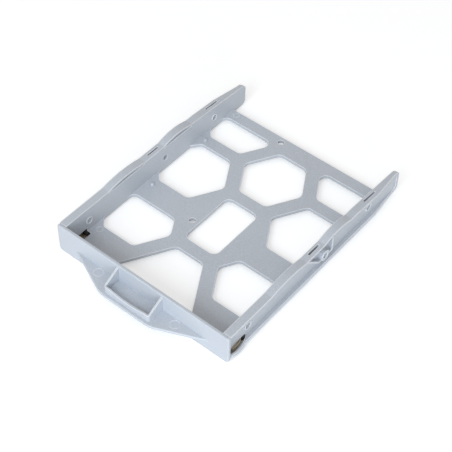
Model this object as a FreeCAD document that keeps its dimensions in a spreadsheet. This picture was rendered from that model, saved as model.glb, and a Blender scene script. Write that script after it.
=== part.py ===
"""Hot swap drive caddy: a moulded tray for a 3.5 inch drive, with a bent metal leaf spring in each rail.

Frame: X runs across the tray, +Y points to its connector end and +Z is up. The origin is at the bottom
centre of the whole caddy. All sizes are in millimetres.
"""
import FreeCAD, Part
import math
import os

import Sketcher
from FreeCAD import Vector

# Driving dimensions. Each becomes a cell of the spreadsheet under its own alias. Distances "from the rail
# ends" are measured forwards from the rear end of the rails.
SIZES = {
    # Drive that the tray carries, from the standard outline of its screw holes.
    "drive_width": 101.6,
    "drive_length": 146.1,
    "side_hole_first": 28.5,         # from the drive's connector end to its rear side hole
    "side_hole_middle": 41.6,        # from the rear side hole to the middle one
    "side_hole_pitch": 101.6,        # from the rear side hole to the front one
    "side_hole_height": 6.35,
    "bottom_hole_first": 41.28,      # from the connector end to the rear pair of bottom holes
    "bottom_hole_pitch": 44.45,
    "bottom_hole_inset": 3.175,      # from the drive's sides
    # How the drive sits in the tray.
    "side_play": 0.9,
    "front_play": 0.1,
    "connector_overhang": 0.4,       # how far the drive stands out behind the rails
    # Smaller drive that can be screwed to the floor instead.
    "small_drive_spread": 61.72,
    "small_drive_pitch": 76.6,
    "small_drive_setback": 14.3,     # from the rail ends to its rear holes
    "small_drive_inset": 4.44,       # from the right wall to its nearest holes
    "small_drive_hole_radius": 1.8,
    # Floor.
    "floor_thickness": 2.2,
    "floor_setback": 10.7,           # from the rail ends to the floor's rear edge
    # Openings in the floor.
    "cutout_radius": 4.0,
    "cutout_slope": 60.0,            # degrees between the slanting edges and the cross bars
    "chamfer_across": 4.5,           # cut corners beside the locating domes
    "chamfer_along": 5.2,
    "chamfer_radius": 3.0,
    "rear_cutout_start": 17.9,       # from the rail ends
    "rear_cutout_end": 36.5,
    "rear_cutout_side": 15.8,        # from the middle of the tray
    "middle_cutout_start": 44.0,
    "middle_cutout_end": 80.4,
    "middle_cutout_point": 62.3,
    "front_cutout_start": 96.0,
    "front_cutout_end": 124.3,
    "front_cutout_point": 106.5,
    "side_cutout_tip": 16.3,         # from the middle of the tray to the points of those two
    "hexagon_start": 21.9,
    "hexagon_end": 58.5,
    "hexagon_half_flat": 9.0,
    "slot_start": 66.0,
    "slot_end": 102.3,
    "slot_half_width": 10.5,
    "trapezoid_start": 109.9,
    "trapezoid_half_flat": 9.0,
    # Rails.
    "rail_height": 15.1,             # above the floor's top
    "rail_width": 4.6,
    "web_thickness": 2.2,
    "flange_thickness": 1.0,
    "lead_length": 42.0,             # sloping lead-in at the rear end
    "lead_drop": 2.9,
    "lead_nose": 2.8,
    "lead_nose_drop": 2.1,
    "lead_foot_radius": 3.0,
    "taper_start": 24.0,             # the flanges narrow towards the rear end
    "taper_end": 5.0,
    "end_lip": 0.4,
    "end_lip_thickness": 2.0,
    "end_lip_base": 1.0,
    # Springy bows moulded into the top flange.
    "front_bow_start": 86.0,
    "front_bow_end": 114.5,
    "front_bow_rise": 1.6,
    "rear_bow_start": 47.5,
    "rear_bow_end": 70.5,
    "rear_bow_rise": 1.95,
    # Blind slots in the top flange, each in a small block under it. The left ones lie further out.
    "right_slot_inset": 1.3,         # from the wall's inner face
    "right_slot_width": 1.2,
    "left_slot_inset": 2.05,
    "left_slot_width": 0.95,
    "slot_block_wall": 0.7,          # round the slots
    "slot_block_depth": 2.2,         # below the flange at the rear slot's front end
    "rear_slot_start": 23.0,
    "rear_slot_end": 33.0,
    "front_slot_start": 72.8,
    "front_slot_end": 81.2,
    # Screw holes through the rails.
    "screw_hole_radius": 1.8,
    "rim_width": 0.5,                # round the rear and front holes inside the wall
    "rim_height": 0.3,
    "collar_width": 0.8,             # round the same holes outside the web
    "collar_height": 0.4,
    "boss_radius": 3.2,
    "boss_proud": 0.3,               # of the rail's flanges
    # Thin ribs that box in the middle boss.
    "rib_recess": 0.3,               # from the flange edges in to the ribs
    "rib_thickness": 0.9,
    "rib_box_start": 62.5,           # from the rail ends
    "rib_box_foot": 74.5,
    "rib_box_end": 85.5,
    "rib_box_base": 4.0,             # above the floor's top
    # Domes that drop into the drive's bottom holes.
    "dome_radius": 1.1,
    "dome_height": 1.5,
    "dome_rounding": 0.8,
    # Front panel.
    "panel_thickness": 2.0,
    "panel_overhang": 0.3,           # beyond the rails on each side
    "panel_drop": 1.8,               # below the floor's underside
    "panel_bottom_radius": 2.5,
    "panel_top_radius": 1.5,
    "panel_edge_rounding": 0.6,
    # Pull tongue with its finger pocket.
    "tongue_reach": 12.2,
    "tongue_thickness": 1.8,
    "tongue_height": 4.0,            # of its top above the floor's top
    "tongue_root_inset": 12.8,       # from the panel's ends
    "tongue_half_tip": 16.5,
    "tongue_corner_radius": 17.0,
    "tongue_edge_rounding": 0.6,
    "pocket_half_width": 15.0,
    "pocket_lip": 1.8,               # from the tongue's tip to the pull wall
    "pocket_wall": 1.0,
    "pocket_corner_radius": 1.6,
    "pocket_root_height": 9.5,       # of the ribs where they leave the panel, above the tongue
    "pocket_wall_height": 4.4,
    "pocket_dip": 1.3,               # of the pull wall's top edge at the middle
    "pocket_dip_half": 11.0,
    # Round witness marks left by the ejector pins.
    "mark_line": 0.3,
    "mark_depth": 0.15,
    "floor_mark_radius": 1.9,
    "floor_mark_inset": 4.3,         # from the wall
    "rear_mark_setback": 13.6,
    "front_mark_setback": 126.9,
    "tongue_mark_radius": 2.7,
    "tongue_mark_side": 25.4,
    "tongue_mark_reach": 3.2,        # in front of the panel
    # Window at the front of each rail, with the metal leaf spring in it.
    "window_length": 13.8,
    "window_height": 1.7,            # above the floor's top
    "window_inset": 3.0,             # into the floor from the wall's inner face
    "window_skin": 0.6,              # thin floor left below the window
    "bridge_width": 1.0,             # strip left of the bottom flange outside the window
    "bridge_gap": 0.8,               # between the strip's front end and the panel
    "bridge_length": 11.6,
    "bridge_bow": 1.1,               # of the strip outwards
    "bridge_root": 0.9,              # widening of the strip at the window's rear end
    "leaf_thickness": 0.4,
    "leaf_length": 11.5,
    "leaf_bow": 1.5,
    "leaf_lead": 1.0,                # straight part behind the panel
    "leaf_tab": 1.0,                 # how far the captive end reaches into the panel
    "leaf_foot": 4.2,                # width of the foot along the leaf's bottom
    "leaf_end_inset": 0.4,
    "leaf_play": 0.2,
    # Rubber stop in the rear end of the window, which the leaf's end comes close to.
    "stop_gap": 0.4,
    "stop_reach": 1.8,               # into the floor from the wall's inner face
    "stop_play": 0.1,                # below the window's top and beside the strip
}


class Size:
    """A length with its value and the expression that binds it to the spreadsheet."""

    def __init__(self, value, text=None):
        self.value = float(value)
        self.text = text or repr(float(value))

    def __add__(self, other):
        other = as_size(other)
        return Size(self.value + other.value, f"({self.text} + {other.text})")

    def __sub__(self, other):
        other = as_size(other)
        return Size(self.value - other.value, f"({self.text} - {other.text})")

    def __mul__(self, other):
        other = as_size(other)
        return Size(self.value * other.value, f"({self.text} * {other.text})")

    def __truediv__(self, other):
        other = as_size(other)
        return Size(self.value / other.value, f"({self.text} / {other.text})")

    def __neg__(self):
        return Size(-self.value, f"(0 - {self.text})")


def as_size(number):
    """Turn a plain number into a Size."""
    return number if isinstance(number, Size) else Size(number)


def tangent(angle):
    """Tangent of an angle in degrees."""
    return Size(math.tan(math.radians(angle.value)), f"tan({angle.text})")


def diagonal(across, along):
    """Length of the slanting side of a right-angled triangle."""
    text = f"sqrt({across.text} ^ 2 + {along.text} ^ 2)"
    return Size(math.hypot(across.value, along.value), text)


class Sheet:
    """The document's spreadsheet, whose aliases read as attributes that give Size values."""

    def __init__(self, document, sizes):
        self.cells = document.addObject("Spreadsheet::Sheet", "Sizes")
        for row, (alias, number) in enumerate(sizes.items(), start=1):
            self.cells.set(f"A{row}", alias)
            self.cells.set(f"B{row}", str(number))
            self.cells.setAlias(f"B{row}", alias)
        document.recompute()

    def __getattr__(self, alias):
        return Size(getattr(self.cells, alias), f"Sizes.{alias}")


class Corner:
    """A corner of an outline: its place, its rounding, and how far the edge after it bows to its left."""

    def __init__(self, across, along, radius=None, bow=None):
        self.across = as_size(across)
        self.along = as_size(along)
        self.radius = radius
        self.bow = bow
        self.point = Vector(self.across.value, self.along.value, 0)


document = FreeCAD.newDocument("drive_caddy")
size = Sheet(document, SIZES)

# Places that several features share.
BAY_LENGTH = size.drive_length + size.front_play - size.connector_overhang
DEPTH = BAY_LENGTH + size.panel_thickness + size.tongue_reach
REAR = DEPTH / 2
PANEL_BACK = REAR - BAY_LENGTH
PANEL_FRONT = PANEL_BACK - size.panel_thickness
TIP = PANEL_FRONT - size.tongue_reach
DRIVE_REAR = REAR + size.connector_overhang
UNDERSIDE = size.panel_drop
FLOOR = UNDERSIDE + size.floor_thickness
TOP = FLOOR + size.rail_height
WALL = size.drive_width / 2 + size.side_play
WEB = WALL + size.web_thickness
RAIL = WALL + size.rail_width
PANEL_SIDE = RAIL + size.panel_overhang
CHANNEL_DEPTH = size.rail_width - size.web_thickness
RIB_REACH = CHANNEL_DEPTH - size.rib_recess
CHANNEL_TOP = TOP - size.flange_thickness
TONGUE_TOP = FLOOR + size.tongue_height
WINDOW_TOP = FLOOR + size.window_height
WINDOW_BOTTOM = UNDERSIDE + size.window_skin
WINDOW_REAR = PANEL_BACK + size.window_length
BRIDGE = RAIL - size.bridge_width

# How far a feature runs into or past its neighbour, in millimetres, so that no sliver is left between.
MERGE = 0.5


def forward(distance):
    """Place at a distance in front of the rail ends."""
    return REAR - distance


def bind(target, path, amount):
    """Bind a property to the spreadsheet."""
    target.setExpression(path, as_size(amount).text)


def origin_plane(body, role):
    """One of the body's own origin planes."""
    return next(item for item in body.Origin.OriginFeatures if item.Role == role)


def make_body(name):
    """An empty body whose label names its file."""
    body = document.addObject("PartDesign::Body", name)
    body.Label = name
    return body


def make_sketch(body, name, plane, offset=0):
    """A sketch on an origin plane of the body, moved along the plane's normal.

    Across and along are X and Y on XY_Plane, Y and Z on YZ_Plane, and X and Z on XZ_Plane, whose normal
    points to -Y.
    """
    sketch = body.newObject("Sketcher::SketchObject", name)
    sketch.AttachmentSupport = (origin_plane(body, plane), [""])
    sketch.MapMode = "FlatFace"
    bind(sketch, "AttachmentOffset.Base.z", offset)
    return sketch


def place_point(sketch, geometry, position, across, along):
    """Fix a point of the sketch by its two distances from the origin."""
    for kind, amount in (("DistanceX", as_size(across)), ("DistanceY", as_size(along))):
        index = sketch.addConstraint(Sketcher.Constraint(kind, -1, 1, geometry, position, amount.value))
        bind(sketch, f"Constraints[{index}]", amount)


def set_radius(sketch, geometry, radius):
    """Fix the radius of a circle or an arc."""
    index = sketch.addConstraint(Sketcher.Constraint("Radius", geometry, radius.value))
    bind(sketch, f"Constraints[{index}]", radius)


def draw_circle(sketch, across, along, radius):
    """A circle by its centre and radius."""
    centre = Vector(across.value, along.value, 0)
    circle = sketch.addGeometry(Part.Circle(centre, Vector(0, 0, 1), radius.value), False)
    place_point(sketch, circle, 3, across, along)
    set_radius(sketch, circle, radius)


def arc_between(start, end, radius, turns_left):
    """An arc of less than half a turn, and the numbers of its start and end points in the sketcher."""
    chord = end.sub(start)
    side = Vector(-chord.y, chord.x, 0).normalize()
    height = math.sqrt(max(radius ** 2 - (chord.Length / 2) ** 2, 0))
    centre = (start + end) * 0.5 + side * (height if turns_left else -height)
    first, last = (start, end) if turns_left else (end, start)
    angles = [math.atan2(point.y - centre.y, point.x - centre.x) for point in (first, last)]
    arc = Part.ArcOfCircle(Part.Circle(centre, Vector(0, 0, 1), radius), *angles)
    return arc, (1, 2) if turns_left else (2, 1)


def draw_outline(sketch, corners):
    """A closed outline of straight and bowed edges, with its corners sharp or rounded."""
    count = len(corners)
    starts = [corner.point for corner in corners]
    ends = [corners[(index + 1) % count].point for index in range(count)]
    turns = {}
    for index, corner in enumerate(corners):
        if corner.radius is None:
            continue
        arriving = (corner.point - corners[index - 1].point).normalize()
        leaving = (corners[(index + 1) % count].point - corner.point).normalize()
        turn = math.atan2(arriving.cross(leaving).z, arriving.dot(leaving))
        setback = corner.radius.value * math.tan(abs(turn) / 2)
        ends[index - 1] = corner.point - arriving * setback
        starts[index] = corner.point + leaving * setback
        turns[index] = turn

    edges = []
    for index, corner in enumerate(corners):
        if corner.bow is None:
            edge = sketch.addGeometry(Part.LineSegment(starts[index], ends[index]), False)
            edges.append((edge, 1, 2))
            continue
        chord = diagonal(
            corners[(index + 1) % count].across - corner.across,
            corners[(index + 1) % count].along - corner.along,
        )
        radius = chord * chord / (corner.bow * 8) + corner.bow / 2
        turns_left = radius.value < 0
        arc, (first, last) = arc_between(starts[index], ends[index], abs(radius.value), turns_left)
        edge = sketch.addGeometry(arc, False)
        set_radius(sketch, edge, -radius if turns_left else radius)
        edges.append((edge, first, last))

    for index, corner in enumerate(corners):
        before, _, before_end = edges[index - 1]
        after, after_start, _ = edges[index]
        if index not in turns:
            join = Sketcher.Constraint("Coincident", before, before_end, after, after_start)
            sketch.addConstraint(join)
            place_point(sketch, after, after_start, corner.across, corner.along)
            continue
        arc, (first, last) = arc_between(
            ends[index - 1], starts[index], corner.radius.value, turns[index] > 0
        )
        rounding = sketch.addGeometry(arc, False)
        apex = sketch.addGeometry(Part.Point(corner.point), True)
        sketch.addConstraint([
            Sketcher.Constraint("Tangent", before, before_end, rounding, first),
            Sketcher.Constraint("Tangent", rounding, last, after, after_start),
            Sketcher.Constraint("PointOnObject", apex, 1, before),
            Sketcher.Constraint("PointOnObject", apex, 1, after),
        ])
        set_radius(sketch, rounding, corner.radius)
        place_point(sketch, apex, 1, corner.across, corner.along)


def draw_rectangle(sketch, across, along, radius=None):
    """A rectangle between two places across and two places along."""
    left, right = across
    low, high = along
    draw_outline(sketch, [
        Corner(left, low, radius),
        Corner(right, low, radius),
        Corner(right, high, radius),
        Corner(left, high, radius),
    ])


def extrude(kind, name, sketch, length, reverse=False):
    """Pad or pocket a sketch, and check that it changed the body the way it should."""
    body = sketch.getParentGeoFeatureGroup()
    before = 0 if body.Shape.isNull() else body.Shape.Volume
    feature = body.newObject(f"PartDesign::{kind}", name)
    feature.Profile = sketch
    feature.Reversed = reverse
    bind(feature, "Length", length)
    document.recompute()
    change = body.Shape.Volume - before
    if change * (1 if kind == "Pad" else -1) < 0.01:
        raise RuntimeError(f"{name} changed the volume of {body.Label} by {change:.3f} mm3")
    return feature


def pad(name, sketch, length, reverse=False):
    """Add material on the side that the sketch's normal points to, or on the other one."""
    return extrude("Pad", name, sketch, length, reverse)


def pocket(name, sketch, length, reverse=False):
    """Remove material on the side away from the sketch's normal, or on the normal's own side."""
    return extrude("Pocket", name, sketch, length, reverse)


def round_edges(body, name, radius, chosen):
    """Round the edges of the body that the test picks."""
    base = body.Tip
    names = [f"Edge{number}" for number, edge in enumerate(base.Shape.Edges, start=1) if chosen(edge)]
    fillet = body.newObject("PartDesign::Fillet", name)
    fillet.Base = (base, names)
    bind(fillet, "Radius", radius)
    document.recompute()
    return fillet


def lies_at(edge, axis, place):
    """Whether a whole edge lies at one place along an axis."""
    box = edge.BoundBox
    low, high = {"y": (box.YMin, box.YMax), "z": (box.ZMin, box.ZMax)}[axis]
    return abs(low - place.value) < 1e-4 and abs(high - place.value) < 1e-4


def add_panel(body):
    """Right half of the front panel, with its outer corners and its front edge rounded."""
    sketch = make_sketch(body, "panel_outline", "XZ_Plane", -PANEL_FRONT)
    draw_outline(sketch, [
        Corner(0, 0),
        Corner(PANEL_SIDE, 0, size.panel_bottom_radius),
        Corner(PANEL_SIDE, TOP, size.panel_top_radius),
        Corner(0, TOP),
    ])
    pad("panel", sketch, size.panel_thickness, reverse=True)
    round_edges(body, "panel_edges", size.panel_edge_rounding, is_panel_rim)


def is_panel_rim(edge):
    """Whether an edge runs round the panel's front or back face, away from the middle plane."""
    on_face = lies_at(edge, "y", PANEL_FRONT) or lies_at(edge, "y", PANEL_BACK)
    return on_face and edge.BoundBox.XMax > MERGE


def add_floor(body):
    """Right half of the floor plate, which runs on outwards as the rail's bottom flange.

    Behind the panel the flange bows outwards, beside the window for the leaf spring.
    """
    sketch = make_sketch(body, "floor_outline", "XY_Plane", UNDERSIDE)
    draw_outline(sketch, [
        Corner(0, PANEL_BACK),
        Corner(RAIL, PANEL_BACK, bow=-size.bridge_bow),
        Corner(RAIL, PANEL_BACK + size.bridge_length),
        Corner(RAIL, forward(size.taper_start)),
        Corner(WEB + size.end_lip, forward(size.taper_end)),
        Corner(WALL, forward(size.taper_end)),
        Corner(WALL, forward(size.floor_setback)),
        Corner(0, forward(size.floor_setback)),
    ])
    pad("floor", sketch, size.floor_thickness)


def add_web(body):
    """Upright web of the rail, with the lead-in slope and nose at its rear end."""
    sketch = make_sketch(body, "web_outline", "YZ_Plane", WALL)
    slope_low = CHANNEL_TOP - size.lead_drop
    draw_outline(sketch, [
        Corner(PANEL_BACK, UNDERSIDE),
        Corner(REAR, UNDERSIDE, size.lead_foot_radius),
        Corner(REAR, TOP - size.lead_drop - size.lead_nose_drop),
        Corner(forward(size.lead_nose), slope_low),
        Corner(forward(size.lead_length), CHANNEL_TOP),
        Corner(PANEL_BACK, CHANNEL_TOP),
    ])
    pad("web", sketch, size.web_thickness)


def add_top_flange(body):
    """Top flange of the rail: flat, with two bows standing clear of the web, then sloping to the nose."""
    sketch = make_sketch(body, "flange_side", "YZ_Plane", WALL)
    slope_low = TOP - size.lead_drop
    draw_outline(sketch, [
        Corner(PANEL_BACK, CHANNEL_TOP),
        Corner(forward(size.front_bow_end), CHANNEL_TOP, bow=size.front_bow_rise),
        Corner(forward(size.front_bow_start), CHANNEL_TOP),
        Corner(forward(size.rear_bow_end), CHANNEL_TOP, bow=size.rear_bow_rise),
        Corner(forward(size.rear_bow_start), CHANNEL_TOP),
        Corner(forward(size.lead_length), CHANNEL_TOP),
        Corner(forward(size.lead_nose), slope_low - size.flange_thickness),
        Corner(REAR, slope_low - size.lead_nose_drop - size.flange_thickness),
        Corner(REAR, slope_low - size.lead_nose_drop),
        Corner(forward(size.lead_nose), slope_low),
        Corner(forward(size.lead_length), TOP),
        Corner(forward(size.rear_bow_start), TOP, bow=-size.rear_bow_rise),
        Corner(forward(size.rear_bow_end), TOP),
        Corner(forward(size.front_bow_start), TOP, bow=-size.front_bow_rise),
        Corner(forward(size.front_bow_end), TOP),
        Corner(PANEL_BACK, TOP),
    ])
    pad("top_flange", sketch, size.rail_width)


def cut_taper(body):
    """Narrow the top flange towards the rear end, down to a small lip outside the web."""
    sketch = make_sketch(body, "taper_outline", "XY_Plane", FLOOR)
    draw_outline(sketch, [
        Corner(WEB + size.end_lip, forward(size.taper_end)),
        Corner(RAIL, forward(size.taper_start)),
        Corner(RAIL + size.end_lip, forward(size.taper_start)),
        Corner(RAIL + size.end_lip, REAR + size.end_lip),
        Corner(WEB + size.end_lip, REAR + size.end_lip),
    ])
    pocket("taper", sketch, size.rail_height, reverse=True)


def add_end_lip(body):
    """Low rim that closes the channel round the rear end of the rail."""
    sketch = make_sketch(body, "end_lip_side", "YZ_Plane", WEB)
    nose = TOP - size.lead_drop - size.lead_nose_drop - size.flange_thickness
    lip_back = forward(size.end_lip_thickness)
    base = UNDERSIDE + size.end_lip_base
    draw_outline(sketch, [
        Corner(forward(size.taper_end), UNDERSIDE),
        Corner(REAR, UNDERSIDE, size.lead_foot_radius),
        Corner(REAR, nose),
        Corner(lip_back, nose),
        Corner(lip_back, base + size.lead_foot_radius),
        Corner(forward(size.taper_end), base),
    ])
    pad("end_lip", sketch, size.end_lip)


def cut_side_openings(body):
    """The three openings beside the wall, slanted at 60 degrees, with cut corners beside the domes."""
    radius = size.cutout_radius
    soft = size.chamfer_radius
    run = tangent(size.cutout_slope)
    across, along = size.chamfer_across, size.chamfer_along
    sketch = make_sketch(body, "side_opening_outlines", "XY_Plane", FLOOR)
    rear_length = size.rear_cutout_end - size.rear_cutout_start
    draw_outline(sketch, [
        Corner(WALL, forward(size.rear_cutout_start), radius),
        Corner(size.rear_cutout_side, forward(size.rear_cutout_start), radius),
        Corner(size.rear_cutout_side + rear_length / run, forward(size.rear_cutout_end), radius),
        Corner(WALL - across, forward(size.rear_cutout_end), soft),
        Corner(WALL, forward(size.rear_cutout_end - along), soft),
    ])
    start, point, end = size.middle_cutout_start, size.middle_cutout_point, size.middle_cutout_end
    draw_outline(sketch, [
        Corner(WALL, forward(start + along), soft),
        Corner(WALL - across, forward(start), soft),
        Corner(size.side_cutout_tip + (point - start) / run, forward(start), radius),
        Corner(size.side_cutout_tip, forward(point), radius),
        Corner(size.side_cutout_tip + (end - point) / run, forward(end), radius),
        Corner(WALL - across, forward(end), soft),
        Corner(WALL, forward(end - along), soft),
    ])
    start, point, end = size.front_cutout_start, size.front_cutout_point, size.front_cutout_end
    draw_outline(sketch, [
        Corner(WALL, forward(start), radius),
        Corner(size.side_cutout_tip + (point - start) / run, forward(start), radius),
        Corner(size.side_cutout_tip, forward(point), radius),
        Corner(size.side_cutout_tip + (end - point) / run, forward(end), radius),
        Corner(WALL - across, forward(end), soft),
        Corner(WALL, forward(end - along), soft),
    ])
    pocket("side_openings", sketch, size.floor_thickness)


def cut_middle_openings(body):
    """Right halves of the hexagon, the slot and the front trapezoid, cut past the middle plane."""
    radius = size.cutout_radius
    run = tangent(size.cutout_slope)
    left = -size.cutout_radius
    sketch = make_sketch(body, "middle_opening_outlines", "XY_Plane", FLOOR)
    half_length = (size.hexagon_end - size.hexagon_start) / 2
    draw_outline(sketch, [
        Corner(left, forward(size.hexagon_start)),
        Corner(left, forward(size.hexagon_end)),
        Corner(size.hexagon_half_flat, forward(size.hexagon_end), radius),
        Corner(size.hexagon_half_flat + half_length / run, forward(size.hexagon_start + half_length), radius),
        Corner(size.hexagon_half_flat, forward(size.hexagon_start), radius),
    ])
    draw_outline(sketch, [
        Corner(left, forward(size.slot_start)),
        Corner(left, forward(size.slot_end)),
        Corner(size.slot_half_width, forward(size.slot_end), radius),
        Corner(size.slot_half_width, forward(size.slot_start), radius),
    ])
    front_length = BAY_LENGTH - size.trapezoid_start
    draw_outline(sketch, [
        Corner(left, forward(size.trapezoid_start)),
        Corner(left, PANEL_BACK),
        Corner(size.trapezoid_half_flat + front_length / run, PANEL_BACK),
        Corner(size.trapezoid_half_flat, forward(size.trapezoid_start), radius),
    ])
    pocket("middle_openings", sketch, size.floor_thickness)


def side_hole_places():
    """Rear, middle and front side holes as places along the tray."""
    rear = DRIVE_REAR - size.side_hole_first
    return rear, rear - size.side_hole_middle, rear - size.side_hole_pitch


def add_rib_box(body):
    """Thin ribs outside the web that run from the top flange down and round the middle boss."""
    base = FLOOR + size.rib_box_base
    slant = diagonal(size.rib_box_end - size.rib_box_foot, CHANNEL_TOP - base)
    slant_thickness = size.rib_thickness * slant / (CHANNEL_TOP - base)
    inner_base = base + size.rib_thickness
    lean = (size.rib_box_end - size.rib_box_foot) / (CHANNEL_TOP - base)
    outer = make_sketch(body, "rib_box_outer", "YZ_Plane", WEB)
    draw_outline(outer, [
        Corner(forward(size.rib_box_start), CHANNEL_TOP),
        Corner(forward(size.rib_box_end), CHANNEL_TOP),
        Corner(forward(size.rib_box_foot), base),
        Corner(forward(size.rib_box_start), base),
    ])
    pad("rib_box", outer, RIB_REACH)
    inner = make_sketch(body, "rib_box_inner", "YZ_Plane", WEB)
    inner_start = size.rib_box_start + size.rib_thickness
    inner_foot = size.rib_box_foot - slant_thickness + lean * size.rib_thickness
    inner_end = size.rib_box_end - slant_thickness
    draw_outline(inner, [
        Corner(forward(inner_start), CHANNEL_TOP),
        Corner(forward(inner_end), CHANNEL_TOP),
        Corner(forward(inner_foot), inner_base),
        Corner(forward(inner_start), inner_base),
    ])
    pocket("rib_box_space", inner, RIB_REACH, reverse=True)


def add_side_holes(body):
    """Screw holes through the web: rims round the rear and front ones, a boss round the middle one."""
    height = FLOOR + size.side_hole_height
    rear, middle, front = side_hole_places()
    boss = make_sketch(body, "boss_outline", "YZ_Plane", WEB)
    draw_circle(boss, middle, height, size.boss_radius)
    pad("boss", boss, CHANNEL_DEPTH + size.boss_proud)
    rims = make_sketch(body, "rim_outlines", "YZ_Plane", WALL)
    for along in (rear, front):
        draw_circle(rims, along, height, size.screw_hole_radius + size.rim_width)
    pad("rims", rims, size.rim_height, reverse=True)
    collars = make_sketch(body, "collar_outlines", "YZ_Plane", WEB)
    for along in (rear, front):
        draw_circle(collars, along, height, size.screw_hole_radius + size.collar_width)
    pad("collars", collars, size.collar_height)
    holes = make_sketch(body, "side_hole_outlines", "YZ_Plane", WALL - size.rim_height)
    for along in (rear, middle, front):
        draw_circle(holes, along, height, size.screw_hole_radius)
    pocket("side_holes", holes, size.rim_height + size.rail_width + size.boss_proud, reverse=True)


def add_domes(body):
    """Round-topped pins that drop into the drive's bottom screw holes."""
    sketch = make_sketch(body, "dome_outlines", "XY_Plane", FLOOR)
    rear = DRIVE_REAR - size.bottom_hole_first
    side = size.drive_width / 2 - size.bottom_hole_inset
    for along in (rear, rear - size.bottom_hole_pitch):
        draw_circle(sketch, side, along, size.dome_radius)
    pad("domes", sketch, size.dome_height)
    top = FLOOR + size.dome_height
    round_edges(body, "dome_tops", size.dome_rounding, lambda edge: lies_at(edge, "z", top))


def add_tongue(body):
    """Right half of the pull tongue, a flat boat-shaped plate with rounded edges."""
    bottom = TONGUE_TOP - size.tongue_thickness
    half_root = PANEL_SIDE - size.tongue_root_inset
    sketch = make_sketch(body, "tongue_outline", "XY_Plane", bottom)
    draw_outline(sketch, [
        Corner(0, PANEL_BACK - MERGE),
        Corner(0, TIP),
        Corner(size.tongue_half_tip, TIP, size.tongue_corner_radius),
        Corner(half_root, PANEL_FRONT),
        Corner(half_root, PANEL_BACK - MERGE),
    ])
    pad("tongue", sketch, size.tongue_thickness)

    def is_rim(edge):
        at_face = lies_at(edge, "z", TONGUE_TOP) or lies_at(edge, "z", bottom)
        middle = edge.CenterOfMass
        return at_face and middle.y < PANEL_FRONT.value - MERGE and middle.x > MERGE

    round_edges(body, "tongue_edge", size.tongue_edge_rounding, is_rim)


def add_finger_pocket(body):
    """Right rib and half of the pull wall: the rib falls forwards and the wall dips in the middle."""
    wall_front = TIP + size.pocket_lip
    wall_back = wall_front + size.pocket_wall
    inner = size.pocket_half_width - size.pocket_wall
    plan = make_sketch(body, "pocket_plan", "XY_Plane", TONGUE_TOP)
    draw_outline(plan, [
        Corner(0, wall_front),
        Corner(size.pocket_half_width, wall_front, size.pocket_corner_radius),
        Corner(size.pocket_half_width, PANEL_FRONT + MERGE),
        Corner(inner, PANEL_FRONT + MERGE),
        Corner(inner, wall_back),
        Corner(0, wall_back),
    ])
    pad("pocket_walls", plan, size.pocket_root_height)

    high = TONGUE_TOP + size.pocket_root_height
    low = TONGUE_TOP + size.pocket_wall_height
    fall = make_sketch(body, "pocket_fall_side", "YZ_Plane")
    draw_outline(fall, [
        Corner(PANEL_FRONT, high),
        Corner(wall_back, low),
        Corner(TIP, low),
        Corner(TIP, high + MERGE),
        Corner(PANEL_FRONT, high + MERGE),
    ])
    pocket("pocket_fall", fall, size.pocket_half_width, reverse=True)

    dip = make_sketch(body, "pocket_dip_front", "XZ_Plane", -wall_back)
    half = size.pocket_dip_half
    draw_outline(dip, [
        Corner(-half, low, bow=-size.pocket_dip),
        Corner(half, low),
        Corner(half, low + size.pocket_dip),
        Corner(-half, low + size.pocket_dip),
    ])
    pocket("pocket_dip", dip, size.pocket_wall + size.pocket_lip, reverse=True)


def cut_spring_window(body):
    """Window through the foot of the rail behind the panel, with a slot in the panel for the leaf's end."""
    sketch = make_sketch(body, "window_outline", "XY_Plane", WINDOW_BOTTOM)
    draw_outline(sketch, [
        Corner(WALL - size.window_inset, PANEL_BACK),
        Corner(BRIDGE, PANEL_BACK, bow=-size.bridge_bow),
        Corner(BRIDGE, PANEL_BACK + size.bridge_length),
        Corner(BRIDGE - size.bridge_root, WINDOW_REAR),
        Corner(WALL - size.window_inset, WINDOW_REAR),
    ])
    pocket("window", sketch, WINDOW_TOP - WINDOW_BOTTOM, reverse=True)
    gap = make_sketch(body, "bridge_gap_outline", "XY_Plane", FLOOR)
    outside = RAIL + size.bridge_bow
    draw_rectangle(gap, (WEB, outside), (PANEL_BACK, PANEL_BACK + size.bridge_gap))
    pocket("bridge_gap", gap, size.floor_thickness)
    slot = make_sketch(body, "leaf_slot_outline", "XY_Plane", WINDOW_BOTTOM)
    half = size.leaf_thickness / 2 + size.leaf_play
    along = (PANEL_BACK - size.leaf_tab - size.leaf_play, PANEL_BACK)
    draw_rectangle(slot, (WEB - half, WEB + half), along)
    pocket("leaf_slot", slot, WINDOW_TOP - WINDOW_BOTTOM, reverse=True)


def mirror_half(body):
    """Complete the tray with its left half."""
    mirrored = body.newObject("PartDesign::Mirrored", "both_halves")
    mirrored.TransformMode = "Whole shape"
    mirrored.MirrorPlane = (origin_plane(body, "YZ_Plane"), [""])
    body.Tip = mirrored
    document.recompute()


def flange_underside(distance):
    """Height of the sloping part of the top flange's underside at a distance from the rail ends."""
    fall = (size.lead_length - distance) / (size.lead_length - size.lead_nose)
    return CHANNEL_TOP - size.lead_drop * fall


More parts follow.
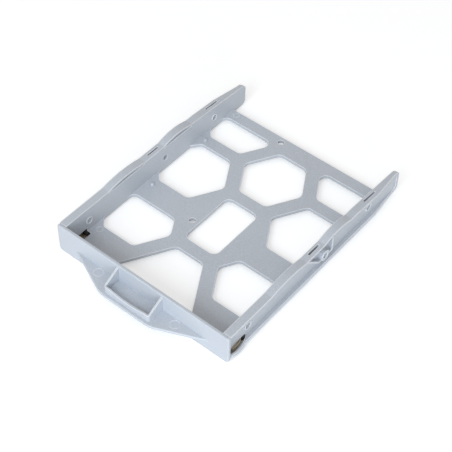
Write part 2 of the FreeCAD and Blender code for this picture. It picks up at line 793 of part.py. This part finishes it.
def add_flange_slots(body, name, side, inset, width):
    """Two blind slots down through a rail's top flange: side is 1 on the right and -1 on the left."""
    wall = size.slot_block_wall
    rear = (size.rear_slot_start, size.rear_slot_end)
    front = (size.front_slot_start, size.front_slot_end)
    base = flange_underside(size.rear_slot_end) - size.slot_block_depth
    blocks = make_sketch(body, f"{name}_block_sides", "YZ_Plane", (WEB - MERGE) * side)
    draw_outline(blocks, [
        Corner(forward(rear[1] + wall), flange_underside(rear[1] + wall) + MERGE),
        Corner(forward(rear[1] + wall), base),
        Corner(forward(rear[0] - wall), base),
        Corner(forward(rear[0] - wall), flange_underside(rear[0] - wall) + MERGE),
    ])
    front_block = (forward(front[1] + wall), forward(front[0] - wall))
    draw_rectangle(blocks, front_block, (base, CHANNEL_TOP + MERGE))
    reach = WALL + inset + width + wall - WEB + MERGE
    pad(f"{name}_blocks", blocks, reach, reverse=side < 0)
    slots = make_sketch(body, f"{name}_outlines", "XY_Plane", TOP)
    across = sorted(((WALL + inset) * side, (WALL + inset + width) * side), key=lambda place: place.value)
    for start, end in (rear, front):
        draw_rectangle(slots, across, (forward(end), forward(start)))
    pocket(name, slots, TOP - base - wall)


def cut_small_drive_holes(body):
    """Four holes in the floor for a smaller drive, which sits to the right of the middle."""
    sketch = make_sketch(body, "small_drive_outlines", "XY_Plane", FLOOR)
    rear = forward(size.small_drive_setback)
    right = WALL - size.small_drive_inset
    for across in (right - size.small_drive_spread, right):
        for along in (rear, rear - size.small_drive_pitch):
            draw_circle(sketch, across, along, size.small_drive_hole_radius)
    pocket("small_drive_holes", sketch, size.floor_thickness)


def cut_pin_marks(body):
    """Shallow rings left by the ejector pins on the floor's corners and on the tongue."""
    tongue_along = PANEL_FRONT - size.tongue_mark_reach
    floor_side = WALL - size.floor_mark_inset
    floor_places = [forward(size.rear_mark_setback), forward(size.front_mark_setback)]
    groups = (
        ("floor_marks", FLOOR, floor_side, floor_places, size.floor_mark_radius),
        ("tongue_marks", TONGUE_TOP, size.tongue_mark_side, [tongue_along], size.tongue_mark_radius),
    )
    for name, height, side, places, radius in groups:
        sketch = make_sketch(body, f"{name}_outlines", "XY_Plane", height)
        for across in (-side, side):
            for along in places:
                draw_circle(sketch, across, along, radius)
                draw_circle(sketch, across, along, radius - size.mark_line)
        pocket(name, sketch, size.mark_depth)


def make_tray():
    """The whole moulding: the right half is built feature by feature and then mirrored."""
    body = make_body("tray")
    add_panel(body)
    add_floor(body)
    add_web(body)
    add_top_flange(body)
    cut_taper(body)
    add_end_lip(body)
    cut_side_openings(body)
    cut_middle_openings(body)
    add_rib_box(body)
    add_side_holes(body)
    add_domes(body)
    add_tongue(body)
    add_finger_pocket(body)
    cut_spring_window(body)
    mirror_half(body)
    for name, side, inset, width in (
        ("right_slots", 1, size.right_slot_inset, size.right_slot_width),
        ("left_slots", -1, size.left_slot_inset, size.left_slot_width),
    ):
        add_flange_slots(body, name, side, inset, width)
    cut_small_drive_holes(body)
    cut_pin_marks(body)
    return body


def make_leaf_spring(name, side):
    """Bent metal leaf with a foot along its bottom: side is 1 on the right and -1 on the left."""
    body = make_body(name)
    bottom = WINDOW_BOTTOM + size.leaf_play
    height = WINDOW_TOP - size.leaf_play - bottom
    half = size.leaf_thickness / 2
    front = PANEL_BACK - size.leaf_tab
    bend = PANEL_BACK + size.leaf_lead
    end = PANEL_BACK + size.leaf_length
    outer_end = WEB + half - size.leaf_end_inset
    inner_end = WEB - half - size.leaf_end_inset

    leaf = make_sketch(body, f"{name}_plan", "XY_Plane", bottom)
    draw_outline(leaf, [
        Corner((WEB + half) * side, front),
        Corner((WEB + half) * side, bend, bow=-size.leaf_bow * side),
        Corner(outer_end * side, end),
        Corner(inner_end * side, end, bow=size.leaf_bow * side),
        Corner((WEB - half) * side, bend),
        Corner((WEB - half) * side, front),
    ])
    pad(f"{name}_leaf", leaf, height)

    foot = make_sketch(body, f"{name}_foot_plan", "XY_Plane", bottom)
    foot_inner = WEB - size.leaf_foot
    draw_outline(foot, [
        Corner((WEB + half) * side, bend, bow=-size.leaf_bow * side),
        Corner(outer_end * side, end),
        Corner(foot_inner * side, end),
        Corner(foot_inner * side, bend),
    ])
    pad(f"{name}_foot", foot, size.leaf_thickness)
    return body


def make_stop(name, side):
    """Stepped rubber block behind the leaf's end: side is 1 on the right and -1 on the left."""
    body = make_body(name)
    front = PANEL_BACK + size.leaf_length + size.stop_gap
    outer = BRIDGE - size.bridge_root - size.stop_play
    low = make_sketch(body, f"{name}_foot_plan", "XY_Plane", WINDOW_BOTTOM)
    draw_outline(low, [
        Corner((WALL - size.stop_reach) * side, front),
        Corner(outer * side, front),
        Corner(outer * side, WINDOW_REAR),
        Corner((WALL - size.stop_reach) * side, WINDOW_REAR),
    ])
    pad(f"{name}_foot", low, FLOOR - WINDOW_BOTTOM)
    high = make_sketch(body, f"{name}_block_plan", "XY_Plane", FLOOR)
    draw_outline(high, [
        Corner(WALL * side, front),
        Corner(outer * side, front),
        Corner(outer * side, WINDOW_REAR),
        Corner(WALL * side, WINDOW_REAR),
    ])
    pad(f"{name}_block", high, WINDOW_TOP - size.stop_play - FLOOR)
    return body


def check_document(bodies):
    """Stop if any object failed or any sub-part isn't one sound solid."""
    for item in document.Objects:
        if "Invalid" in item.State or "Error" in item.State:
            raise RuntimeError(f"{item.Label} failed: {item.State}")
    for body in bodies:
        shape = body.Shape
        if shape.isNull() or not shape.isValid() or len(shape.Solids) != 1:
            raise RuntimeError(f"{body.Label} is not one sound solid")


def main():
    """Build the tray, its two springs and their stops, and write one file for each."""
    bodies = [
        make_tray(),
        make_leaf_spring("left_leaf_spring", -1),
        make_leaf_spring("right_leaf_spring", 1),
        make_stop("left_leaf_stop", -1),
        make_stop("right_leaf_stop", 1),
    ]
    document.recompute()
    check_document(bodies)
    os.makedirs("parts", exist_ok=True)
    for body in bodies:
        body.Shape.exportStep(os.path.join("parts", f"{body.Label}.step"))
        print(f"{body.Label}: {body.Shape.Volume:.1f} mm3")


main()
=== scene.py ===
"""Finishes and studio for a hot swap drive caddy, laid out as an add-on and run as a script."""
import math

import bpy
from bpy.props import FloatProperty, FloatVectorProperty, PointerProperty
from mathutils import Matrix, Vector

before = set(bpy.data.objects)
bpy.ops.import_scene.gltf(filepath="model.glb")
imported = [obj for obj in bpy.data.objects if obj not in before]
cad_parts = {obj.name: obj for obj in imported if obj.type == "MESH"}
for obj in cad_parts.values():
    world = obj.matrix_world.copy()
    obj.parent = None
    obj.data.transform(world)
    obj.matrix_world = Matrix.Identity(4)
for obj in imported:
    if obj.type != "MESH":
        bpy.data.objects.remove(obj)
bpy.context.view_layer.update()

bl_info = {
    "name": "Drive Caddy Finish",
    "version": (1, 0, 0),
    "blender": (4, 5, 0),
    "location": "View3D > Sidebar > Drive Caddy",
    "description": "Gives the drive caddy its plastic, spring metal and rubber, and sets up its studio",
    "category": "Object",
}

# Studio, in metres.
LAMP_SIDE = 0.5
FRONT_LAMP_PLACE = (0.2, -0.86, 0.65)
LOW_LAMP_PLACE = (0.77, -0.77, 0.13)
FLOOR_HALF_SIDE = 3.0
FLOOR_DROP = 0.0002
SENSOR_WIDTH_MM = 36.0
NEAREST_SEEN = 0.01
FARTHEST_SEEN = 20.0

# Shading of the CAD meshes.
CRISP_ANGLE = math.radians(32.0)
AREA_WEIGHT = 100
EDGE_SAMPLES = 8

# Openness inside the solid, from a full edge to flat ground.
EDGE_OPENNESS = 0.55
FLAT_OPENNESS = 0.98

# Parts of the noise range over which each pattern goes from none to full.
CLOUD_RANGE = (0.35, 0.65)
FLECK_RANGE = (0.42, 0.68)
GLOSS_RANGE = (0.3, 0.7)
TEMPER_RANGE = (0.42, 0.66)
DUST_RANGE = (0.45, 0.75)

# Roughness varies by this much to each side.
PLASTIC_GLOSS_SPREAD = 0.05
SPRING_GLOSS_SPREAD = 0.08

# Feature sizes and relief, in metres.
TEMPER_PATCH = 0.004
ROLLING_STRETCH = (1.0, 0.05, 1.0)
ROLLING_DEPTH = 0.000004
DUST_PATCH = 0.0009
STOP_GRAIN = 0.0003
STOP_GRAIN_DEPTH = 0.000008

WHITE = (1.0, 1.0, 1.0, 1.0)


class PlasticSettings(bpy.types.PropertyGroup):
    """Finish of the moulded tray."""

    colour: FloatVectorProperty(
        name="Colour",
        description="Main colour of the pale grey plastic",
        subtype="COLOR",
        size=3,
        min=0.0,
        max=1.0,
        default=(0.555, 0.59, 0.64),
    )
    fleck_colour: FloatVectorProperty(
        name="Fleck Colour",
        description="Paler silvery flecks in the plastic",
        subtype="COLOR",
        size=3,
        min=0.0,
        max=1.0,
        default=(0.60, 0.64, 0.70),
    )
    fleck_size: FloatProperty(
        name="Fleck Size",
        description="Usual distance between two flecks",
        unit="LENGTH",
        min=0.0001,
        max=0.005,
        precision=5,
        default=0.0006,
    )
    flow_colour: FloatVectorProperty(
        name="Flow Colour",
        description="Slightly deeper tone where the melt flowed unevenly",
        subtype="COLOR",
        size=3,
        min=0.0,
        max=1.0,
        default=(0.52, 0.55, 0.60),
    )
    # Painted highlight: this paler colour along outer edges stands in for light glinting on their small
    # roundings.
    painted_highlight_colour: FloatVectorProperty(
        name="Edge Colour",
        description="Paler tone along rubbed edges",
        subtype="COLOR",
        size=3,
        min=0.0,
        max=1.0,
        default=(0.93, 0.95, 0.98),
    )
    roughness: FloatProperty(
        name="Roughness",
        description="Satin roughness of the plastic",
        subtype="FACTOR",
        min=0.0,
        max=1.0,
        default=0.38,
    )
    grain_size: FloatProperty(
        name="Grain Size",
        description="Distance between the grains of the mould's fine texture",
        unit="LENGTH",
        min=0.0001,
        max=0.005,
        precision=5,
        default=0.0006,
    )
    grain_depth: FloatProperty(
        name="Grain Depth",
        description="Height of the mould's fine texture",
        unit="LENGTH",
        min=0.0,
        max=0.0002,
        precision=6,
        default=0.00001,
    )
    flow_size: FloatProperty(
        name="Flow Size",
        description="Breadth of the cloudy flow marks",
        unit="LENGTH",
        min=0.001,
        max=0.2,
        default=0.045,
    )
    edge_rounding: FloatProperty(
        name="Edge Rounding",
        description="Small rounding that the mould leaves on each edge",
        unit="LENGTH",
        min=0.0,
        max=0.001,
        precision=5,
        default=0.00018,
    )
    # Breadth of the painted highlight along outer edges.
    painted_highlight_reach: FloatProperty(
        name="Edge Wear",
        description="Breadth of the paler rubbed edges",
        unit="LENGTH",
        min=0.0,
        max=0.002,
        precision=5,
        default=0.00045,
    )


class ShadeStopSettings(bpy.types.PropertyGroup):
    """Finish of the two stops, a near-black painted shade for the dark hollow behind each spring."""

    # Painted shade: this near-black colour gives the stops the deep shade of the hollow behind each
    # spring.
    colour: FloatVectorProperty(
        name="Colour",
        description="Colour of the black rubber",
        subtype="COLOR",
        size=3,
        min=0.0,
        max=1.0,
        default=(0.008, 0.008, 0.009),
    )
    dust_colour: FloatVectorProperty(
        name="Dust Colour",
        description="Colour of the thin dust on it",
        subtype="COLOR",
        size=3,
        min=0.0,
        max=1.0,
        default=(0.03, 0.03, 0.032),
    )
    roughness: FloatProperty(
        name="Roughness",
        description="Roughness of the rubber",
        subtype="FACTOR",
        min=0.0,
        max=1.0,
        default=0.7,
    )


class SpringSettings(bpy.types.PropertyGroup):
    """Finish of the two leaf springs."""

    colour: FloatVectorProperty(
        name="Colour",
        description="Colour of the clean spring strip",
        subtype="COLOR",
        size=3,
        min=0.0,
        max=1.0,
        default=(0.61, 0.549, 0.439),
    )
    temper_colour: FloatVectorProperty(
        name="Temper Colour",
        description="Browner tint that tempering leaves in patches",
        subtype="COLOR",
        size=3,
        min=0.0,
        max=1.0,
        default=(0.24, 0.18, 0.11),
    )
    roughness: FloatProperty(
        name="Roughness",
        description="Roughness of the rolled metal",
        subtype="FACTOR",
        min=0.0,
        max=1.0,
        default=0.36,
    )
    rolling_width: FloatProperty(
        name="Rolling Width",
        description="Distance between the fine lines left by rolling",
        unit="LENGTH",
        min=0.00005,
        max=0.002,
        precision=5,
        default=0.00022,
    )


class StudioSettings(bpy.types.PropertyGroup):
    """Floor, lights and camera."""

    floor_colour: FloatVectorProperty(
        name="Floor Colour",
        description="Colour of the pale floor",
        subtype="COLOR",
        size=3,
        min=0.0,
        max=1.0,
        default=(0.86, 0.86, 0.86),
    )
    floor_glow: FloatProperty(
        name="Floor Glow",
        description="Whiteness added to the floor where it is looked at",
        min=0.0,
        max=1.0,
        default=0.4,
    )
    sky_light: FloatProperty(
        name="Sky Light",
        description="Strength of the even light from all round",
        min=0.0,
        max=2.0,
        default=0.52,
    )
    warm_white: FloatVectorProperty(
        name="Warm White",
        description="Colour of the light from all round",
        subtype="COLOR",
        size=3,
        min=0.0,
        max=1.0,
        default=(1.0, 0.98, 0.955),
    )
    cool_white: FloatVectorProperty(
        name="Cool White",
        description="Colour of the two lamps in front",
        subtype="COLOR",
        size=3,
        min=0.0,
        max=1.0,
        default=(0.84, 0.92, 1.0),
    )
    front_power: FloatProperty(
        name="Front Power",
        description="Power of the lamp above the front",
        unit="POWER",
        min=0.0,
        max=100.0,
        default=5.4,
    )
    low_power: FloatProperty(
        name="Low Power",
        description="Power of the low lamp at the front right",
        unit="POWER",
        min=0.0,
        max=100.0,
        default=4.2,
    )
    camera_azimuth: FloatProperty(
        name="Azimuth",
        description="Direction of the camera round the caddy, from straight in front",
        subtype="ANGLE",
        default=math.radians(38.291),
    )
    camera_elevation: FloatProperty(
        name="Elevation",
        description="Height of the camera above the horizon",
        subtype="ANGLE",
        default=math.radians(48.575),
    )
    camera_roll: FloatProperty(
        name="Roll",
        description="Tilt of the camera about its own line of sight",
        subtype="ANGLE",
        default=math.radians(1.455),
    )
    camera_distance: FloatProperty(
        name="Distance",
        description="From the camera to the point that it looks at",
        unit="LENGTH",
        default=0.637144,
    )
    camera_target: FloatVectorProperty(
        name="Target",
        description="Point that the camera looks at",
        subtype="TRANSLATION",
        size=3,
        default=(0.001687, -0.00257, 0.003987),
    )
    camera_lens: FloatProperty(
        name="Lens",
        description="Focal length for a 36 mm wide sensor",
        unit="CAMERA",
        default=96.45,
    )


class Shader:
    """A new material and short ways to add and join its nodes."""

    def __init__(self, name):
        self.material = bpy.data.materials.new(name)
        self.material.use_nodes = True
        self.tree = self.material.node_tree
        self.surface = self.tree.nodes["Principled BSDF"]
        self.place = self.add("ShaderNodeTexCoord").outputs["Object"]

    def add(self, kind, **inputs):
        """A node with its inputs set to values or joined to other nodes' outputs."""
        node = self.tree.nodes.new(kind)
        for name, given in inputs.items():
            self.give(node.inputs[name.replace("_", " ")], given)
        return node

    def give(self, socket, given):
        """Join an output to a socket, or set its value."""
        if isinstance(given, bpy.types.NodeSocket):
            self.tree.links.new(given, socket)
        else:
            socket.default_value = given

    def noise(self, size, detail=2.0, place=None):
        """Noise with features of a size in metres."""
        return self.add(
            "ShaderNodeTexNoise",
            Vector=place or self.place,
            Scale=1.0 / size,
            Detail=detail,
        ).outputs["Fac"]

    def spread(self, fac, low, high, start=0.0, end=1.0):
        """Map a range of one value to another."""
        node = self.tree.nodes.new("ShaderNodeMapRange")
        self.give(node.inputs["Value"], fac)
        node.inputs["From Min"].default_value = start
        node.inputs["From Max"].default_value = end
        node.inputs["To Min"].default_value = low
        node.inputs["To Max"].default_value = high
        return node.outputs["Result"]

    def blend(self, fac, first, second):
        """Mix two colours."""
        node = self.tree.nodes.new("ShaderNodeMix")
        node.data_type = "RGBA"
        self.give(node.inputs["Factor"], fac)
        for socket, given in zip((node.inputs[6], node.inputs[7]), (first, second)):
            self.give(socket, given if isinstance(given, bpy.types.NodeSocket) else (*given, 1.0))
        return node.outputs[2]

    def vary_roughness(self, pattern, middle, spread):
        """Let the roughness follow a pattern, by a spread to each side of its middle."""
        rough = self.spread(pattern, middle - spread, middle + spread, *GLOSS_RANGE)
        self.give(self.surface.inputs["Roughness"], rough)

    def edges(self, reach):
        """A mask of 1 on outer edges, which fades over a reach in metres."""
        solid = self.add("ShaderNodeAmbientOcclusion", Distance=reach)
        solid.inside = True
        solid.only_local = True
        solid.samples = EDGE_SAMPLES
        return self.spread(solid.outputs["AO"], 1.0, 0.0, EDGE_OPENNESS, FLAT_OPENNESS)

    def bump(self, height, depth, rounding=0.0):
        """Relief of a depth in metres, over edges with a small rounding."""
        node = self.add("ShaderNodeBump", Height=height, Distance=depth)
        if rounding:
            soft = self.add("ShaderNodeBevel", Radius=rounding)
            soft.samples = EDGE_SAMPLES
            self.give(node.inputs["Normal"], soft.outputs["Normal"])
        self.tree.links.new(node.outputs["Normal"], self.surface.inputs["Normal"])


def moulded_plastic(settings):
    """Satin plastic with a fine mould texture, cloudy flow marks and a painted highlight of paler
    colour along outer edges.
    """
    shader = Shader("moulded_plastic")
    clouds = shader.spread(shader.noise(settings.flow_size, detail=4.0), 0.0, 1.0, *CLOUD_RANGE)
    cloudy = shader.blend(clouds, settings.colour, settings.flow_colour)
    flecks = shader.spread(shader.noise(settings.fleck_size), 0.0, 1.0, *FLECK_RANGE)
    tone = shader.blend(flecks, cloudy, settings.fleck_colour)
    # Painted highlight: outer edges are paled where light would glint on them.
    painted_highlight_mask = shader.edges(settings.painted_highlight_reach)
    shader.give(shader.surface.inputs["Base Color"], shader.blend(painted_highlight_mask, tone, settings.painted_highlight_colour))
    grain = shader.noise(settings.grain_size, detail=3.0)
    shader.vary_roughness(grain, settings.roughness, PLASTIC_GLOSS_SPREAD)
    shader.surface.inputs["IOR"].default_value = 1.5
    shader.bump(grain, settings.grain_depth, rounding=settings.edge_rounding)
    return shader.material


def spring_metal(settings):
    """Rolled spring strip, with fine lines along its length and brown patches of temper."""
    shader = Shader("spring_metal")
    stretched = shader.add("ShaderNodeMapping", Vector=shader.place)
    stretched.inputs["Scale"].default_value = ROLLING_STRETCH
    lines = shader.noise(settings.rolling_width, place=stretched.outputs["Vector"])
    patches = shader.spread(shader.noise(TEMPER_PATCH, detail=3.0), 0.0, 1.0, *TEMPER_RANGE)
    shader.give(
        shader.surface.inputs["Base Color"],
        shader.blend(patches, settings.colour, settings.temper_colour),
    )
    shader.vary_roughness(lines, settings.roughness, SPRING_GLOSS_SPREAD)
    shader.surface.inputs["Metallic"].default_value = 1.0
    shader.bump(lines, ROLLING_DEPTH)
    return shader.material


def black_rubber(settings):
    """Matt near-black painted shade for the dark hollow behind each spring, with a little dust and a
    fine moulded surface.
    """
    shader = Shader("black_rubber")
    dust = shader.spread(shader.noise(DUST_PATCH, detail=3.0), 0.0, 1.0, *DUST_RANGE)
    shader.give(
        shader.surface.inputs["Base Color"],
        shader.blend(dust, settings.colour, settings.dust_colour),
    )
    shader.surface.inputs["Roughness"].default_value = settings.roughness
    shader.bump(shader.noise(STOP_GRAIN), STOP_GRAIN_DEPTH)
    return shader.material


def dress(node, material):
    """Give a CAD node one material."""
    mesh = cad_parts[node].data
    mesh.materials.clear()
    mesh.materials.append(material)


def shade_evenly(node):
    """Keep flats flat and curves smooth, with a crisp line where they meet at an angle."""
    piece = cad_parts[node]
    crisp = piece.modifiers.new("crisp_edges", "EDGE_SPLIT")
    crisp.split_angle = CRISP_ANGLE
    crisp.use_edge_sharp = False
    shading = piece.modifiers.new("even_shading", "WEIGHTED_NORMAL")
    shading.mode = "FACE_AREA"
    shading.weight = AREA_WEIGHT
    shading.keep_sharp = False


class CADDY_OT_finish_tray(bpy.types.Operator):
    """Give the moulded tray its plastic, with softened edges and a painted highlight along them."""

    bl_idname = "caddy.finish_tray"
    bl_label = "Finish Tray"

    def execute(self, context):
        settings = context.scene.caddy_plastic
        dress("tray", moulded_plastic(settings))
        shade_evenly("tray")
        return {"FINISHED"}


class CADDY_OT_finish_springs(bpy.types.Operator):
    """Give the two leaf springs their rolled metal."""

    bl_idname = "caddy.finish_springs"
    bl_label = "Finish Springs"

    def execute(self, context):
        metal = spring_metal(context.scene.caddy_spring)
        for node in ("left_leaf_spring", "right_leaf_spring"):
            dress(node, metal)
        return {"FINISHED"}


class CADDY_OT_finish_stops(bpy.types.Operator):
    """Give the stops behind the springs their near-black painted shade."""

    bl_idname = "caddy.finish_stops"
    bl_label = "Finish Stops"

    def execute(self, context):
        # Painted shade: the near-black stops darken the hollow behind each spring.
        rubber = black_rubber(context.scene.caddy_rubber)
        for node in ("left_leaf_stop", "right_leaf_stop"):
            dress(node, rubber)
        return {"FINISHED"}


def looked_at(tree):
    """Output that is 1 where the camera sees a surface, straight or through a reflection."""
    rays = tree.nodes.new("ShaderNodeLightPath").outputs
    seen = rays["Is Camera Ray"]
    for name in ("Is Glossy Ray", "Is Transmission Ray"):
        most = tree.nodes.new("ShaderNodeMath")
        most.operation = "MAXIMUM"
        tree.links.new(seen, most.inputs[0])
        tree.links.new(rays[name], most.inputs[1])
        seen = most.outputs["Value"]
    return seen


def floor_paper(settings):
    """White paper that reads as white from the camera and still takes the caddy's shadow."""
    shader = Shader("floor_paper")
    shader.surface.inputs["Base Color"].default_value = (*settings.floor_colour, 1.0)
    shader.surface.inputs["Roughness"].default_value = 0.9
    shader.surface.inputs["Specular IOR Level"].default_value = 0.1
    glow = shader.tree.nodes.new("ShaderNodeMath")
    glow.operation = "MULTIPLY"
    shader.give(glow.inputs[0], looked_at(shader.tree))
    glow.inputs[1].default_value = settings.floor_glow
    shader.surface.inputs["Emission Color"].default_value = WHITE
    shader.give(shader.surface.inputs["Emission Strength"], glow.outputs["Value"])
    return shader.material


def lay_floor(settings):
    """Flat floor under the caddy, wide enough to fill every view."""
    half = FLOOR_HALF_SIDE
    mesh = bpy.data.meshes.new("floor")
    corners = [(-half, -half, 0), (half, -half, 0), (half, half, 0), (-half, half, 0)]
    mesh.from_pydata(corners, [], [(0, 1, 2, 3)])
    floor = bpy.data.objects.new("floor", mesh)
    floor.location.z = -FLOOR_DROP
    mesh.materials.append(floor_paper(settings))
    bpy.context.scene.collection.objects.link(floor)


def light_sky(settings):
    """Even light from all round, seen as white."""
    world = bpy.data.worlds.new("studio")
    bpy.context.scene.world = world
    world.use_nodes = True
    tree = world.node_tree
    light = tree.nodes["Background"]
    light.inputs["Color"].default_value = (*settings.warm_white, 1.0)
    light.inputs["Strength"].default_value = settings.sky_light
    backdrop = tree.nodes.new("ShaderNodeBackground")
    backdrop.inputs["Color"].default_value = WHITE
    choice = tree.nodes.new("ShaderNodeMixShader")
    tree.links.new(looked_at(tree), choice.inputs["Fac"])
    tree.links.new(light.outputs["Background"], choice.inputs[1])
    tree.links.new(backdrop.outputs["Background"], choice.inputs[2])
    tree.links.new(choice.outputs["Shader"], tree.nodes["World Output"].inputs["Surface"])


def hang_lamp(name, place, power, colour):
    """Square soft lamp that points at the caddy."""
    lamp = bpy.data.lights.new(name, "AREA")
    lamp.size = LAMP_SIDE
    lamp.energy = power
    lamp.color = colour
    holder = bpy.data.objects.new(name, lamp)
    holder.location = place
    holder.rotation_euler = (-Vector(place)).to_track_quat("-Z", "Y").to_euler()
    bpy.context.scene.collection.objects.link(holder)


def set_camera(settings):
    """Camera from its azimuth, elevation, roll, distance and target."""
    turn, rise, roll = settings.camera_azimuth, settings.camera_elevation, settings.camera_roll
    right = Vector((math.cos(turn), math.sin(turn), 0.0))
    back = Vector((math.sin(turn) * math.cos(rise), -math.cos(turn) * math.cos(rise), math.sin(rise)))
    up = back.cross(right)
    across = right * math.cos(roll) + up * math.sin(roll)
    above = up * math.cos(roll) - right * math.sin(roll)
    place = Vector(settings.camera_target) + back * settings.camera_distance
    lens = bpy.data.cameras.new("camera")
    lens.sensor_width = SENSOR_WIDTH_MM
    lens.lens = settings.camera_lens
    lens.clip_start = NEAREST_SEEN
    lens.clip_end = FARTHEST_SEEN
    camera = bpy.data.objects.new("camera", lens)
    turned = Matrix((across, above, back)).transposed().to_4x4()
    camera.matrix_world = Matrix.Translation(place) @ turned
    bpy.context.scene.collection.objects.link(camera)
    bpy.context.scene.camera = camera


class CADDY_OT_build_studio(bpy.types.Operator):
    """Lay the floor, hang the lamps and set the camera."""

    bl_idname = "caddy.build_studio"
    bl_label = "Build Studio"

    def execute(self, context):
        settings = context.scene.caddy_studio
        context.scene.view_settings.view_transform = "Standard"
        lay_floor(settings)
        light_sky(settings)
        hang_lamp("front_lamp", FRONT_LAMP_PLACE, settings.front_power, settings.cool_white)
        hang_lamp("low_lamp", LOW_LAMP_PLACE, settings.low_power, settings.cool_white)
        set_camera(settings)
        return {"FINISHED"}


class CADDY_PT_finish(bpy.types.Panel):
    """Sizes and colours of the caddy's finish, and the steps that apply them."""

    bl_idname = "CADDY_PT_finish"
    bl_label = "Drive Caddy"
    bl_space_type = "VIEW_3D"
    bl_region_type = "UI"
    bl_category = "Drive Caddy"

    def draw(self, context):
        scene = context.scene
        groups = (
            (scene.caddy_plastic, CADDY_OT_finish_tray),
            (scene.caddy_spring, CADDY_OT_finish_springs),
            (scene.caddy_rubber, CADDY_OT_finish_stops),
            (scene.caddy_studio, CADDY_OT_build_studio),
        )
        for settings, step in groups:
            column = self.layout.box().column()
            for name in settings.__annotations__:
                column.prop(settings, name)
            column.operator(step.bl_idname)


CLASSES = (
    PlasticSettings,
    SpringSettings,
    ShadeStopSettings,
    StudioSettings,
    CADDY_OT_finish_tray,
    CADDY_OT_finish_springs,
    CADDY_OT_finish_stops,
    CADDY_OT_build_studio,
    CADDY_PT_finish,
)


def register():
    """Add the classes and their settings to Blender."""
    for item in CLASSES:
        bpy.utils.register_class(item)
    bpy.types.Scene.caddy_plastic = PointerProperty(type=PlasticSettings)
    bpy.types.Scene.caddy_spring = PointerProperty(type=SpringSettings)
    bpy.types.Scene.caddy_rubber = PointerProperty(type=ShadeStopSettings)
    bpy.types.Scene.caddy_studio = PointerProperty(type=StudioSettings)


def unregister():
    """Take the classes and their settings out of Blender."""
    del bpy.types.Scene.caddy_studio
    del bpy.types.Scene.caddy_rubber
    del bpy.types.Scene.caddy_spring
    del bpy.types.Scene.caddy_plastic
    for item in reversed(CLASSES):
        bpy.utils.unregister_class(item)


def main():
    """Finish the caddy and build its studio."""
    register()
    bpy.ops.caddy.finish_tray()
    bpy.ops.caddy.finish_springs()
    bpy.ops.caddy.finish_stops()
    bpy.ops.caddy.build_studio()


if __name__ == "__main__":
    main()
